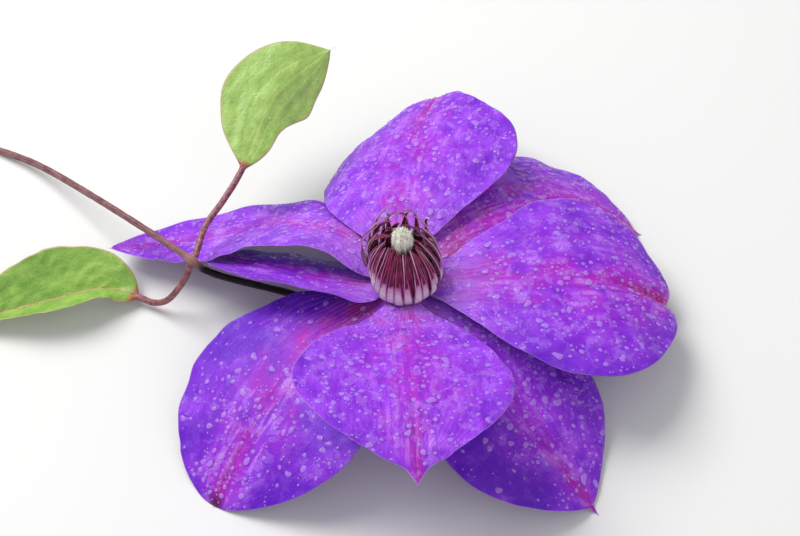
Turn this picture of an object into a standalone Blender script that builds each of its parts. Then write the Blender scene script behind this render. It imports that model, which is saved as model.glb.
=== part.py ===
"""Clematis flower, picked with its stalk, a node with its pair of leaves and a short length of vine.

The flower is drawn about its own axis, with +Z up out of its face and the origin where the sepals meet,
in millimetres. An empty then turns and lifts it until it lies on the surface z = 0, on the tips of three
sepals and on the cut end of the vine, with the origin under the middle of its box.
"""

import math

import bpy
import numpy as np

MM = 0.001

# How the picked flower lies: two tilts in degrees, then the place of its middle in millimetres.
TILT_BACK = -5.4
TILT_SIDE = 2.6
PLACE = (25.46, -1.8, 22.7)

# Sepals: sheet thickness, and the ring that they start from.
SEPAL_THICKNESS = 0.5
SEPAL_RING = 4.5
SEPAL_CLAW = 1.7
SEPAL_POINT = 4.2
SEPAL_POINT_SHARE = 0.15
SEPAL_BLADE_SHARE = 0.955
SEPAL_ROWS, SEPAL_COLUMNS = 15, 9
SEPAL_END = 0.975
CLAW_SHARE = 0.10
ROLL_SHARE = 0.12
POINT_TAPER = 1.2

# One row for each sepal: height of its base; length; half widths to its left and right; heading at base
# and tip, seen from above; rise at base, middle and tip; roll at base and tip; curl of its left and right
# halves, edge up positive; how far along it is widest; how full its outline is. Lengths in millimetres,
# angles in degrees.
SEPALS = {
    "sepal_back": (2.0, 74, (30, 31), (95, 65), (17, -3, -11), (-3, -32), (-35, -19), 0.57, 0.77),
    "sepal_back_right": (-1.2, 80, (28, 28), (49, -2), (16, -11, -48), (7, -10), (-20, -14), 0.57, 0.80),
    "sepal_right": (1.1, 79, (30, 32), (-3, 8), (9, -7, -58), (9, 1), (-13, -2), 0.58, 0.73),
    "sepal_front_right": (-1.9, 78, (26, 25), (-53, -42), (1, -19, -38), (4, -12), (1, -10), 0.58, 0.79),
    "sepal_front": (0.7, 71, (26, 30), (-87, -87), (13, 13, -26), (0, -5), (-4, 11), 0.56, 0.81),
    "sepal_front_left": (-2.2, 76, (30, 28), (-146, -118), (0, -23, -45), (2, 6), (0, -11), 0.54, 0.64),
    "sepal_left": (-1.2, 56, (17, 17), (171, 139), (-3, -11, -35), (13, 13), (47, -38), 0.40, 0.67),
    "sepal_back_left": (-0.4, 94, (18, 15), (126, 202), (23, -26, 28), (26, 20), (-5, 10), 0.45, 0.66),
}

# Receptacle and pistils: outlines from bottom to top, as radius and height.
RECEPTACLE = [(1.2, -5.0), (1.9, -4.4), (3.6, -3.2), (3.9, -2.6), (3.9, 2.4), (5.4, 3.0), (5.2, 3.4),
              (4.1, 4.4), (2.8, 5.1), (1.2, 5.6)]
PISTILS = [(1.2, 6.0), (1.9, 6.6), (2.3, 10.0), (2.5, 13.4), (2.9, 16.0), (3.2, 17.6), (3.1, 19.4),
           (1.8, 20.8)]
TURNED_SIDES = 16

# Stamens: one row for each whorl. How many; then the four points, as radius and height, of the curve
# that its straps follow; then their half widths at the base, the filament's widest, the anther, the tip;
# then how far the curve's second point moves at the front, and the other way at the back; then how far
# its last point moves where the whorl is most open.
WHORLS = {
    "outer": (27, ((5.9, 3.1), (11.85, 0.75), (12.0, 12.5), (4.4, 17.2)), (0.55, 1.02, 0.70, 0.30),
              (1.35, -1.65), (4.8, 3.0)),
    "middle": (12, ((4.6, 4.6), (9.8, 2.6), (10.4, 12.0), (4.2, 15.6)), (0.50, 0.95, 0.70, 0.30),
               (0.0, 0.0), (3.4, 2.6)),
    "inner": (8, ((3.3, 5.6), (6.2, 5.4), (7.4, 11.5), (4.0, 14.4)), (0.45, 0.90, 0.70, 0.30),
              (0.0, 0.0), (1.6, 1.8)),
}
STAMEN_THICKNESS = 0.45
STAMEN_ROWS = 9
OPEN_SIDE = 110
STAMEN_LEAN = 5.0
LEAN_START = 40
STRAP_STATIONS = (0.0, 0.40, 0.65, 1.0)

# Stem: points from the cut end of the vine, past the node, along the flower stalk to the receptacle.
STEM = [(-121, 72, -20.5), (-105.5, 62, -18), (-86, 43, -12.5), (-65.5, 21.5, -6.5), (-57.2, 13.0, -5.0),
        (-53.9, 12.8, -8.6), (-47.5, 12.5, -11.7), (-31, 9.5, -14.4), (-18, 5.5, -15.6), (-8, 1.5, -14.6),
        (-2, 0, -10.6), (0, 0, -5.4)]
STEM_RADIUS = 0.95
STEM_STEPS = 4
NODE_POINT = 4
NODE_SWELL = 0.8
NODE_REACH = 1.6

# Leaves: petiole points, then midrib points; half widths to the left and right of the midrib; how far
# each half folds up from flat; the way that the leaf faces; how far along it is widest.
LEAVES = {
    "leaf_back": (
        [(-56.0, 15.0, -4.0), (-53.8, 23.0, -1.8), (-49.0, 30.0, 1.2), (-44.0, 38.5, 5.0)],
        [(-33.5, 56.5, 16.0), (-18.7, 69.5, 22.0)],
        (12.5, 11.5), (-8, -14), (0, -0.67, 0.74), 0.48,
    ),
    "leaf_left": (
        [(-58.0, 12.0, -7.0), (-59.8, 11.2, -11.5), (-64.5, 11.2, -19.0), (-69.0, 12.8, -22.2),
         (-73.5, 14.7, -22.0)],
        [(-83.5, 17.6, -21.5), (-98.0, 14.7, -23.3), (-112.0, 11.4, -25.0), (-125.0, 6.3, -26.3)],
        (10.0, 12.5), (33, 42), (0, 0, 1), 0.42,
    ),
}
PETIOLE_RADIUS = 0.9
LEAF_THICKNESS = 0.4
LEAF_POINT = 1.6
LEAF_POINT_SHARE = 0.2
LEAF_TIP = 0.12
LEAF_FULLNESS = 0.85
FLATTEN_SHARE = 0.12
PETIOLE_EDGE = 0.92
LEAF_COLUMNS = 7
LEAF_STEPS = 4

SHARP_ANGLE = 50

# Colour, roughness.
FINISHES = {
    "sepal": ((0.30, 0.06, 0.62), 0.5),
    "stamen": ((0.45, 0.12, 0.22), 0.5),
    "pistils": ((0.86, 0.86, 0.62), 0.6),
    "receptacle": ((0.55, 0.60, 0.30), 0.6),
    "stem": ((0.36, 0.18, 0.17), 0.6),
    "leaf": ((0.32, 0.52, 0.10), 0.5),
}


def clear_scene():
    for obj in list(bpy.data.objects):
        bpy.data.objects.remove(obj, do_unlink=True)


def make_finish(name):
    colour, roughness = FINISHES[name]
    finish = bpy.data.materials.new(name)
    finish.use_nodes = True
    shader = finish.node_tree.nodes["Principled BSDF"]
    shader.inputs["Base Color"].default_value = (*colour, 1.0)
    shader.inputs["Roughness"].default_value = roughness
    shader.inputs["Metallic"].default_value = 0.0
    return finish


def place(name, data, finish, parent, location=(0, 0, 0), turn=0.0):
    """Puts mesh or curve data in the scene, turned about the flower's axis, at a place in millimetres."""
    data.materials.append(finish)
    obj = bpy.data.objects.new(name, data)
    bpy.context.scene.collection.objects.link(obj)
    obj.parent = parent
    obj.location = [value * MM for value in location]
    obj.rotation_euler = (0, 0, math.radians(turn))
    return obj


def make_mesh(name, points, faces):
    mesh = bpy.data.meshes.new(name)
    mesh.from_pydata([tuple(p) for p in points * MM], [], faces)
    mesh.shade_smooth()
    mesh.set_sharp_from_angle(angle=math.radians(SHARP_ANGLE))
    return mesh


def closed_sheet(name, middle, normal, half):
    """A closed body about a grid of middle points: half the thickness to each side, and a rim."""
    rows, columns = middle.shape[:2]
    offset = normal * half[..., None]
    points = np.concatenate([(middle + offset).reshape(-1, 3), (middle - offset).reshape(-1, 3)])
    top = np.arange(rows * columns).reshape(rows, columns)
    under = top + rows * columns
    faces = []
    for i in range(rows - 1):
        for j in range(columns - 1):
            faces.append((top[i, j], top[i + 1, j], top[i + 1, j + 1], top[i, j + 1]))
            faces.append((under[i, j], under[i, j + 1], under[i + 1, j + 1], under[i + 1, j]))
        faces.append((top[i, 0], under[i, 0], under[i + 1, 0], top[i + 1, 0]))
        faces.append((top[i, -1], top[i + 1, -1], under[i + 1, -1], under[i, -1]))
    for j in range(columns - 1):
        faces.append((top[0, j], top[0, j + 1], under[0, j + 1], under[0, j]))
        faces.append((top[-1, j], under[-1, j], under[-1, j + 1], top[-1, j + 1]))
    return make_mesh(name, points, [[int(k) for k in face] for face in faces])


def turned(name, outline):
    """A closed body turned about the flower's axis from an outline that runs from bottom to top."""
    angle = np.arange(TURNED_SIDES) * math.tau / TURNED_SIDES
    circle = np.stack([np.cos(angle), np.sin(angle), np.zeros_like(angle)], 1)
    rings = [circle * radius + np.array([0, 0, height]) for radius, height in outline]
    faces = [list(range(TURNED_SIDES - 1, -1, -1))]
    for ring in range(len(rings) - 1):
        for side in range(TURNED_SIDES):
            a, b = ring * TURNED_SIDES + side, ring * TURNED_SIDES + (side + 1) % TURNED_SIDES
            faces.append([a, b, b + TURNED_SIDES, a + TURNED_SIDES])
    faces.append([(len(rings) - 1) * TURNED_SIDES + side for side in range(TURNED_SIDES)])
    return make_mesh(name, np.concatenate(rings), faces)


def smooth_line(points, steps):
    """A Catmull-Rom curve through hand-set points, with the given steps between each two."""
    p = np.array(points, float)
    p = np.vstack([2 * p[0] - p[1], p, 2 * p[-1] - p[-2]])
    t = (np.arange(steps) / steps)[:, None]
    runs = []
    for a, b, c, d in zip(p, p[1:], p[2:], p[3:]):
        square, cube = 2 * a - 5 * b + 4 * c - d, 3 * b - a - 3 * c + d
        runs.append(b + ((c - a) * t + square * t**2 + cube * t**3) / 2)
    return np.vstack([*runs, p[-2]])


def blade_width(s, widest, fullness):
    """Width of a blade along its length, from 0 to 1: a sine arch with its top at widest."""
    s = np.clip(s, 0, 1)
    return np.maximum(np.sin(np.pi * s ** (math.log(0.5) / math.log(widest))), 0) ** fullness


def sepal_mesh(name):
    """A sheet that leaves the origin along +X, bends, rolls and curls, and ends in a point."""
    _, length, widths, heading, rise, roll, curl, widest, fullness = SEPALS[name]
    s = np.linspace(0, SEPAL_END, SEPAL_ROWS)
    turn = np.radians((heading[1] - heading[0]) * s)
    first, middle, last = (1 - s) * (1 - 2 * s), 4 * s * (1 - s), s * (2 * s - 1)
    pitch = np.radians(rise[0] * first + rise[1] * middle + rise[2] * last)
    along = np.stack([np.cos(pitch) * np.cos(turn), np.cos(pitch) * np.sin(turn), np.sin(pitch)], 1)
    steps = (along[1:] + along[:-1]) / 2 * length * SEPAL_END / (SEPAL_ROWS - 1)
    midrib = np.vstack([[0, 0, 0], np.cumsum(steps, 0)])

    left = np.stack([-np.sin(turn), np.cos(turn), np.zeros_like(turn)], 1)
    up = np.cross(along, left)
    rolled = np.radians(roll[0] + (roll[1] - roll[0]) * s) * (1 - np.exp(-((s / ROLL_SHARE) ** 2)))
    cos, sin = np.cos(rolled)[:, None], np.sin(rolled)[:, None]
    left, up = left * cos + up * sin, up * cos - left * sin

    arch = blade_width(s / SEPAL_BLADE_SHARE, widest / SEPAL_BLADE_SHARE, fullness)
    near_tip = np.clip((1 - s) / SEPAL_POINT_SHARE, 0, 1)
    point = SEPAL_POINT * near_tip**POINT_TAPER * (near_tip < 1)
    claw = SEPAL_CLAW * np.exp(-((s / CLAW_SHARE) ** 2)) * (1 - arch)
    v = np.linspace(-1, 1, SEPAL_COLUMNS)
    half_width = np.where(v[None, :] > 0, widths[0], widths[1])
    reach = ((half_width * arch[:, None]) ** 3 + point[:, None] ** 3) ** (1 / 3) + claw[:, None]
    bend = np.radians(np.where(v > 0, curl[0], curl[1]))[None, :] / half_width + 1e-9
    angle = bend * np.abs(v) * reach
    side, lift = np.sign(v) * np.sin(angle) / bend, (1 - np.cos(angle)) / bend
    middle = midrib[:, None] + side[..., None] * left[:, None] + lift[..., None] * up[:, None]
    tilt = np.sign(v) * np.sin(angle)
    normal = up[:, None] * np.cos(angle)[..., None] - left[:, None] * tilt[..., None]
    return closed_sheet(name, middle, normal, np.full(middle.shape[:2], SEPAL_THICKNESS / 2))


def stamen_curve(whorl, turn):
    """The Bezier points of the stamen that stands at this turn, as radius and height."""
    _, curve, _, droop, splay = WHORLS[whorl]
    p = np.array(curve, float)
    p[1] -= np.array(droop) * math.sin(math.radians(turn))
    p[3] += np.array(splay) * (1 + math.cos(math.radians(turn - OPEN_SIDE))) / 2
    return p


def stamen_mesh(name, p, half_widths, lean):
    """A strap that follows a Bezier curve up from +X. Its tip moves round by lean."""
    t = np.linspace(0, 1, STAMEN_ROWS)
    weights = np.stack([(1 - t) ** 3, 3 * t * (1 - t) ** 2, 3 * t**2 * (1 - t), t**3], 1)
    radius, height = (weights @ p).T
    round_by = np.radians(lean) * t**2
    middle = np.stack([radius * np.cos(round_by), radius * np.sin(round_by), height], 1)
    tangent = np.gradient(middle, axis=0)
    tangent /= np.linalg.norm(tangent, axis=1, keepdims=True)
    across = np.stack([-np.sin(round_by), np.cos(round_by), np.zeros_like(t)], 1)
    normal = np.cross(tangent, across)
    half_width = np.interp(t, STRAP_STATIONS, half_widths)[:, None, None]
    grid = middle[:, None] + across[:, None] * half_width * np.array([-1, 1])[None, :, None]
    normals = np.repeat(normal[:, None], 2, axis=1)
    return closed_sheet(name, grid, normals, np.full(grid.shape[:2], STAMEN_THICKNESS / 2))


def leaf_mesh(name):
    """One body: a round petiole that flattens into a blade folded along its midrib."""
    petiole, midrib, widths, folds, faces_to, widest = LEAVES[name]
    line = smooth_line(petiole + midrib, LEAF_STEPS)
    along = np.gradient(line, axis=0)
    along /= np.linalg.norm(along, axis=1, keepdims=True)
    up = np.array(faces_to, float) - along * (along @ np.array(faces_to, float))[:, None]
    up /= np.linalg.norm(up, axis=1, keepdims=True)
    left = np.cross(up, along)

    distance = np.concatenate([[0], np.cumsum(np.linalg.norm(np.diff(line, axis=0), axis=1))])
    start = distance[(len(petiole) - 1) * LEAF_STEPS]
    s = np.clip((distance - start) / (distance[-1] - start), 0, 1)
    arch = blade_width(s, widest, LEAF_FULLNESS)
    flat = np.clip(s / FLATTEN_SHARE, 0, 1)[:, None]
    point = LEAF_POINT * np.clip((1 - s) / LEAF_POINT_SHARE, LEAF_TIP, 1)
    v = np.linspace(-1, 1, LEAF_COLUMNS)
    half_width = np.where(v[None, :] > 0, widths[0], widths[1]) * arch[:, None]
    stalk = np.minimum(PETIOLE_RADIUS, np.where(s > 0.5, point, PETIOLE_RADIUS))[:, None]
    reach = np.sqrt(half_width**2 + stalk**2) * np.abs(v)
    fold = np.radians(np.where(v > 0, folds[0], folds[1]))[None, :] * flat
    side, lift = np.sign(v) * reach * np.cos(fold), reach * np.sin(fold)
    middle = line[:, None] + side[..., None] * left[:, None] + lift[..., None] * up[:, None]
    tilt = np.sign(v) * np.sin(fold)
    normal = up[:, None] * np.cos(fold)[..., None] - left[:, None] * tilt[..., None]
    round_half = PETIOLE_RADIUS * np.sqrt(1 - (PETIOLE_EDGE * v) ** 2)[None, :]
    half = round_half * (1 - flat) + LEAF_THICKNESS / 2 * flat
    return closed_sheet(name, middle, normal, half)


def stem_curve(name):
    """A tube along the stem's line, swollen at the node."""
    line = smooth_line(STEM, STEM_STEPS)
    curve = bpy.data.curves.new(name, "CURVE")
    curve.dimensions = "3D"
    curve.bevel_depth = STEM_RADIUS * MM
    curve.bevel_resolution = 2
    curve.use_fill_caps = True
    spline = curve.splines.new("POLY")
    spline.points.add(len(line) - 1)
    away = np.linalg.norm(line - line[NODE_POINT * STEM_STEPS], axis=1)
    swell = 1 + NODE_SWELL * np.exp(-((away / NODE_REACH) ** 2))
    for point, place_mm, radius in zip(spline.points, line, swell):
        point.co = (*(place_mm * MM), 1.0)
        point.radius = radius
    return curve


def build():
    clear_scene()
    finishes = {name: make_finish(name) for name in FINISHES}
    flower = bpy.data.objects.new("flower_frame", None)
    bpy.context.scene.collection.objects.link(flower)
    flower.rotation_euler = (math.radians(TILT_BACK), math.radians(TILT_SIDE), 0)
    flower.location = [value * MM for value in PLACE]

    for name, (height, _, _, heading, *_) in SEPALS.items():
        angle = math.radians(heading[0])
        base = (SEPAL_RING * math.cos(angle), SEPAL_RING * math.sin(angle), height)
        place(name, sepal_mesh(name), finishes["sepal"], flower, base, heading[0])

    for whorl, (count, _, half_widths, _, _) in WHORLS.items():
        for number in range(count):
            name = f"stamen_{whorl}_{number + 1:02d}"
            turn = 360 * number / count
            lean = STAMEN_LEAN * math.sin(math.radians(2 * turn + LEAN_START))
            mesh = stamen_mesh(name, stamen_curve(whorl, turn), half_widths, lean)
            place(name, mesh, finishes["stamen"], flower, turn=turn)

    place("receptacle", turned("receptacle", RECEPTACLE), finishes["receptacle"], flower)
    place("pistils", turned("pistils", PISTILS), finishes["pistils"], flower)
    place("stem", stem_curve("stem"), finishes["stem"], flower)
    for name in LEAVES:
        place(name, leaf_mesh(name), finishes["leaf"], flower)


build()
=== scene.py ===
# Clematis flower: an open bloom lying as picked, wet with rain, with its stalk, node, leaves and some vine.
import math

import bpy
import numpy as np
from mathutils import Matrix


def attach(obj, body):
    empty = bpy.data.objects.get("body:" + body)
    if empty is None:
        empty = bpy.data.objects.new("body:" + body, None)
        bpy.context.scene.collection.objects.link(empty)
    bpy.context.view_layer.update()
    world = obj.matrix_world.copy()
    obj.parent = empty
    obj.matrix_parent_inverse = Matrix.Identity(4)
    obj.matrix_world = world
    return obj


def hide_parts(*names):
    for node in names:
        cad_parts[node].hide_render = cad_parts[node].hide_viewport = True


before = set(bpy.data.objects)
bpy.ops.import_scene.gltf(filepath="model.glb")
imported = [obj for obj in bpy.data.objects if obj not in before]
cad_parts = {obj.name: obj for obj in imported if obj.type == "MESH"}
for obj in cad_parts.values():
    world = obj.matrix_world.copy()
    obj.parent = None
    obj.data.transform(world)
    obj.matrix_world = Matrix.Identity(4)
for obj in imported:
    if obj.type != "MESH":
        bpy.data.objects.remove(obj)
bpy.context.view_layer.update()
rng = np.random.default_rng(11)
print("frame loaded:", len(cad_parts), "nodes")

# Shapes are worked out about the flower's own axis, +Z up out of its face, in millimetres. These say how it
# is tilted, in degrees, where its middle is as it lies on the floor, and how it eases out onto the floor:
# below easeFrom, heights fall off towards lowest, in metres.
lie = {"tiltBack": -5.4, "tiltSide": 2.6, "place": (25.46, -1.8, 22.7), "easeFrom": 0.0006, "lowest": 0.00005}
mm = 0.001


def turnOfFlower():
    # turn about X, then about Y
    a, b = math.radians(lie["tiltBack"]), math.radians(lie["tiltSide"])
    aboutX = np.array([[1, 0, 0], [0, math.cos(a), -math.sin(a)], [0, math.sin(a), math.cos(a)]])
    aboutY = np.array([[math.cos(b), 0, math.sin(b)], [0, 1, 0], [-math.sin(b), 0, math.cos(b)]])
    return aboutY @ aboutX


def layDown(points):
    # from the flower's own frame in millimetres to the floor's frame in metres
    return (points @ turnOfFlower().T + np.array(lie["place"])) * mm


def unit(vectors):
    return vectors / np.maximum(np.linalg.norm(vectors, axis=-1, keepdims=True), 1e-9)


def smoothStep(low, high, x):
    t = np.clip((x - low) / (high - low), 0, 1)
    return t * t * (3 - 2 * t)


def bell(x, width):
    # bell curve, 1 high at 0
    return np.exp(-((x / width) ** 2))


def waves(x, y, longest, shortest, count, seed):
    # smooth noise: a sum of plane waves of random direction, length and phase, about 1 high
    draw = np.random.default_rng(seed)
    length = draw.uniform(shortest, longest, count)
    way, phase = draw.uniform(0, math.tau, (2, count))
    total = np.zeros(np.broadcast(x, y).shape)
    for wave, heading, start in zip(math.tau / length, way, phase):
        total = total + np.cos((x * math.cos(heading) + y * math.sin(heading)) * wave + start)
    return total / math.sqrt(count / 2)


def around(sides):
    # the angles of a ring's sides
    return np.arange(sides) * math.tau / sides


def lengthsAlong(line):
    return np.concatenate([[0], np.cumsum(np.linalg.norm(np.diff(line, axis=0), axis=1))])


def smoothLine(points, steps):
    # Catmull-Rom curve through given points
    p = np.array(points, float)
    p = np.vstack([2 * p[0] - p[1], p, 2 * p[-1] - p[-2]])
    t = (np.arange(steps) / steps)[:, None]
    runs = []
    for a, b, c, d in zip(p, p[1:], p[2:], p[3:]):
        square, cube = 2 * a - 5 * b + 4 * c - d, 3 * b - a - 3 * c + d
        runs.append(b + ((c - a) * t + square * t**2 + cube * t**3) / 2)
    return np.vstack([*runs, p[-2]])


def bladeWidth(s, widest, fullness):
    # sine arch with its top at widest, raised to fullness
    s = np.clip(s, 0, 1)
    return np.maximum(np.sin(np.pi * s ** (math.log(0.5) / math.log(widest))), 0) ** fullness


def wrap(top, under=None):
    # a sheet's cross sections as closed rings: over the top from left to right, back along the underside
    under = top if under is None else under
    return np.concatenate([top, under[:, -2:0:-1]], 1)


def withEnds(rings):
    # (tubes, rings, sides, ...) to one list of points, with the middle of the first and last ring added
    ends = rings[:, [0, -1]].mean(2)
    flat = rings.reshape(rings.shape[0], -1, *rings.shape[3:])
    joined = np.concatenate([flat, ends], 1)
    return joined.reshape(-1, *joined.shape[2:])


def addPiece(name, rings, finish, nodes=(), values=None):
    # Skins rings (tubes, rings, sides, xyz) into closed tubes, each end drawn to its middle point.
    # Sides run anticlockwise about the way the rings go, so that the faces point outwards.
    tubes, count, sides = rings.shape[:3]
    index = np.arange(count * sides).reshape(count, sides)
    onward = np.roll(index, -1, 1)
    quads = np.stack([index[:-1], onward[:-1], onward[1:], index[1:]], -1).reshape(-1, 4)
    start, end = np.full(sides, count * sides), np.full(sides, count * sides + 1)
    caps = [[onward[0], index[0], start], [index[-1], onward[-1], end]]
    tris = np.stack(caps).transpose(0, 2, 1).reshape(-1, 3)
    shift = (np.arange(tubes) * (count * sides + 2))[:, None, None]
    quads, tris = (quads + shift).reshape(-1, 4), (tris + shift).reshape(-1, 3)
    points = layDown(withEnds(rings))
    # nothing sinks into the floor: the lowest heights ease out above it along an exponential curve
    easeFrom, band = lie["easeFrom"], lie["easeFrom"] - lie["lowest"]
    low = points[:, 2] < easeFrom
    points[low, 2] = lie["lowest"] + band * np.exp((points[low, 2] - easeFrom) / band)
    mesh = bpy.data.meshes.new(name)
    mesh.vertices.add(len(points))
    mesh.vertices.foreach_set("co", points.astype(np.float32).ravel())
    mesh.loops.add(quads.size + tris.size)
    mesh.loops.foreach_set("vertex_index", np.concatenate([quads.ravel(), tris.ravel()]).astype(np.int32))
    mesh.polygons.add(len(quads) + len(tris))
    starts = np.concatenate([np.arange(len(quads)) * 4, quads.size + np.arange(len(tris)) * 3])
    mesh.polygons.foreach_set("loop_start", starts.astype(np.int32))
    mesh.polygons.foreach_set("use_smooth", np.ones(len(starts), bool))
    for key, value in (values or {}).items():
        value = withEnds(np.broadcast_to(value, rings.shape[:3] + np.shape(value)[3:])).astype(np.float32)
        kind, field = ("FLOAT", "value") if value.ndim == 1 else ("FLOAT_VECTOR", "vector")
        mesh.attributes.new(key, kind, "POINT").data.foreach_set(field, value.ravel())
    mesh.update(calc_edges=True)
    mesh.materials.append(finish)
    piece = bpy.data.objects.new(name, mesh)
    bpy.context.scene.collection.objects.link(piece)
    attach(piece, "root")
    if nodes:
        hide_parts(*nodes)
    return piece


def tube(line, radius, up, sides, outline=None):
    # rings round a line, turned so that the first side faces away from up crossed with the line
    along = unit(np.gradient(line, axis=0))
    ahead = unit(np.broadcast_to(up, line.shape) - along * (along * up).sum(1, keepdims=True))
    left = np.cross(ahead, along)
    angle = around(sides)
    reach = np.asarray(radius)[:, None] * (1 if outline is None else outline(angle)[None, :])
    ring = left[:, None] * np.cos(angle)[None, :, None] + ahead[:, None] * np.sin(angle)[None, :, None]
    return line[:, None] + ring * reach[..., None]


def put(tree, kind, inputs=None, **settings):
    # a node with its settings, each input given as a value or as another node's output
    node = tree.nodes.new(kind)
    for key, value in settings.items():
        setattr(node, key, value)
    for key, value in (inputs or {}).items():
        if isinstance(value, bpy.types.NodeSocket):
            tree.links.new(value, node.inputs[key])
        else:
            node.inputs[key].default_value = value
    return node


def attribute(tree, name, output="Fac"):
    return put(tree, "ShaderNodeAttribute", attribute_name=name).outputs[output]


def mix(tree, share, a, b):
    # colour a where share is 0 and b where it is 1; each is a node's output or plain red, green and blue
    a, b = ((*c, 1.0) if isinstance(c, tuple) else c for c in (a, b))
    return put(tree, "ShaderNodeMix", {0: share, 6: a, 7: b}, data_type="RGBA").outputs[2]


def sums(tree, operation, a, b=0.0):
    return put(tree, "ShaderNodeMath", {0: a, 1: b}, operation=operation).outputs[0]


def times(tree, a, b):
    return sums(tree, "MULTIPLY", a, b)


def step(tree, value, low, high, outLow=0.0, outHigh=1.0):
    inputs = {"Value": value, "From Min": low, "From Max": high, "To Min": outLow, "To Max": outHigh}
    return put(tree, "ShaderNodeMapRange", inputs, interpolation_type="SMOOTHSTEP").outputs[0]


def noise(tree, place, scale, detail=2.0, rough=0.5):
    inputs = {"Vector": place, "Scale": scale, "Detail": detail, "Roughness": rough}
    return put(tree, "ShaderNodeTexNoise", inputs).outputs["Fac"]


def newGroup(name, numbers, outputs):
    # a group that takes a place on the surface and some numbers
    tree = bpy.data.node_groups.new(name, "ShaderNodeTree")
    tree.interface.new_socket("Place", in_out="INPUT", socket_type="NodeSocketVector")
    for label, value in numbers.items():
        socket = tree.interface.new_socket(label, in_out="INPUT", socket_type="NodeSocketFloat")
        socket.default_value = value
    for label in outputs:
        tree.interface.new_socket(label, in_out="OUTPUT", socket_type="NodeSocketFloat")
    return tree, tree.nodes.new("NodeGroupInput").outputs, tree.nodes.new("NodeGroupOutput").inputs


def useGroup(tree, group, inputs):
    return put(tree, "ShaderNodeGroup", inputs, node_tree=group).outputs


def newFinish(name, **values):
    finish = bpy.data.materials.new(name)
    finish.use_nodes = True
    shader = finish.node_tree.nodes["Principled BSDF"]
    for key, value in values.items():
        shader.inputs[key.replace("_", " ")].default_value = value
    return finish, finish.node_tree, shader.inputs


def streakGroup():
    # lines that run along a blade: noise on (along, across) with the along part drawn out
    tree, given, out = newGroup("bladeStreaks", {"Spacing": 1.0, "Draw Out": 12.0}, ["Lines", "Fine"])
    parts = put(tree, "ShaderNodeSeparateXYZ", {0: given["Place"]}).outputs
    along = sums(tree, "DIVIDE", parts[0], given["Draw Out"])
    place = put(tree, "ShaderNodeCombineXYZ", {0: along, 1: parts[1], 2: parts[2]}).outputs[0]
    scale = sums(tree, "DIVIDE", 1.0, given["Spacing"])
    scaled = put(tree, "ShaderNodeVectorMath", {0: place, "Scale": scale}, operation="SCALE").outputs[0]
    tree.links.new(step(tree, noise(tree, scaled, 1.0, 1.0), 0.40, 0.62), out["Lines"])
    tree.links.new(noise(tree, scaled, 3.0, 2.0), out["Fine"])
    return tree


def mottleGroup():
    # soft blotches with smaller ones in them, spread about 0.5
    tree, given, out = newGroup("mottle", {"Size": 1.0, "Contrast": 1.0}, ["Blotches"])
    scale = sums(tree, "DIVIDE", 1.0, given["Size"])
    blotches = noise(tree, given["Place"], scale, 4.0, 0.6)
    spread = times(tree, sums(tree, "SUBTRACT", blotches, 0.5), given["Contrast"])
    tree.links.new(sums(tree, "ADD", spread, 0.5), out["Blotches"])
    return tree


streaks, mottle = streakGroup(), mottleGroup()


def streaksOf(tree, place, spacing, drawOut):
    return useGroup(tree, streaks, {"Place": place, "Spacing": spacing, "Draw Out": drawOut})


def mottleOf(tree, place, size, contrast):
    return useGroup(tree, mottle, {"Place": place, "Size": size, "Contrast": contrast})["Blotches"]


def bumpOf(tree, height, depth, strength):
    inputs = {"Strength": strength, "Distance": depth * mm, "Height": height}
    return put(tree, "ShaderNodeBump", inputs).outputs[0]


def addBlade(name, blade, number, finish, node):
    # a sheet's two faces, half its thickness to either side; its marks are stored for the finish
    sheet, normal, half, marks = blade
    top = sheet + normal * half[..., None]
    topSide = wrap(np.ones_like(half), np.zeros_like(half))
    topSide[:, 0] = topSide[:, half.shape[1] - 1] = 0.7
    place = np.stack([marks["along"], marks["across"], np.full_like(half, number * 40.0)], -1)
    values = {"topSide": topSide[None], "bladePlace": wrap(place)[None]}
    for key, mark in marks.items():
        if key not in ("along", "across"):
            values[key] = wrap(mark)[None]
    addPiece(name, wrap(top, sheet - normal * half[..., None])[None], finish, [node], values)
    return top, normal, marks


# what all sepals share, unless a sepal's own row says otherwise: the grid; the ring that they start from; how
# wide the foot is and how soon it ends; how the outline closes; relief, in millimetres; how far the tip tucks
# under, how dark it is, how pale the throat is, how the deep violet and its painted shade fade on the right,
# and its share of the rain
sepalForm = {
    "rows": 190, "tipRows": 30, "tipFrom": 0.9, "end": 0.9985, "columns": 96, "edgeCrowding": 0.35,
    "ring": 4.5, "claw": 1.7, "clawShare": 0.10, "rollShare": 0.12,
    "pointShare": 0.15, "pointTaper": 1.2, "bladeShare": 0.955, "thickness": 0.46, "fullWidth": 28,
    "ribDepth": 0.22, "ribWidth": 0.38, "ribSpread": 0.11, "ridgeHeight": 0.14, "ridgeWidth": 1.1,
    "veinCount": 11, "veinDepth": 0.10, "veinWidth": 0.24, "pucker": 0.117, "swell": 0.30, "ruffle": 0.30,
    "outline": 0.006, "foldWidth": 2.6, "crimsonWidth": 2.2, "tipWidth": 2.6,
    "tuck": 0, "tipDark": 0.15, "throat": 0.8, "deepFade": 0, "drops": 1,
}
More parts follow.
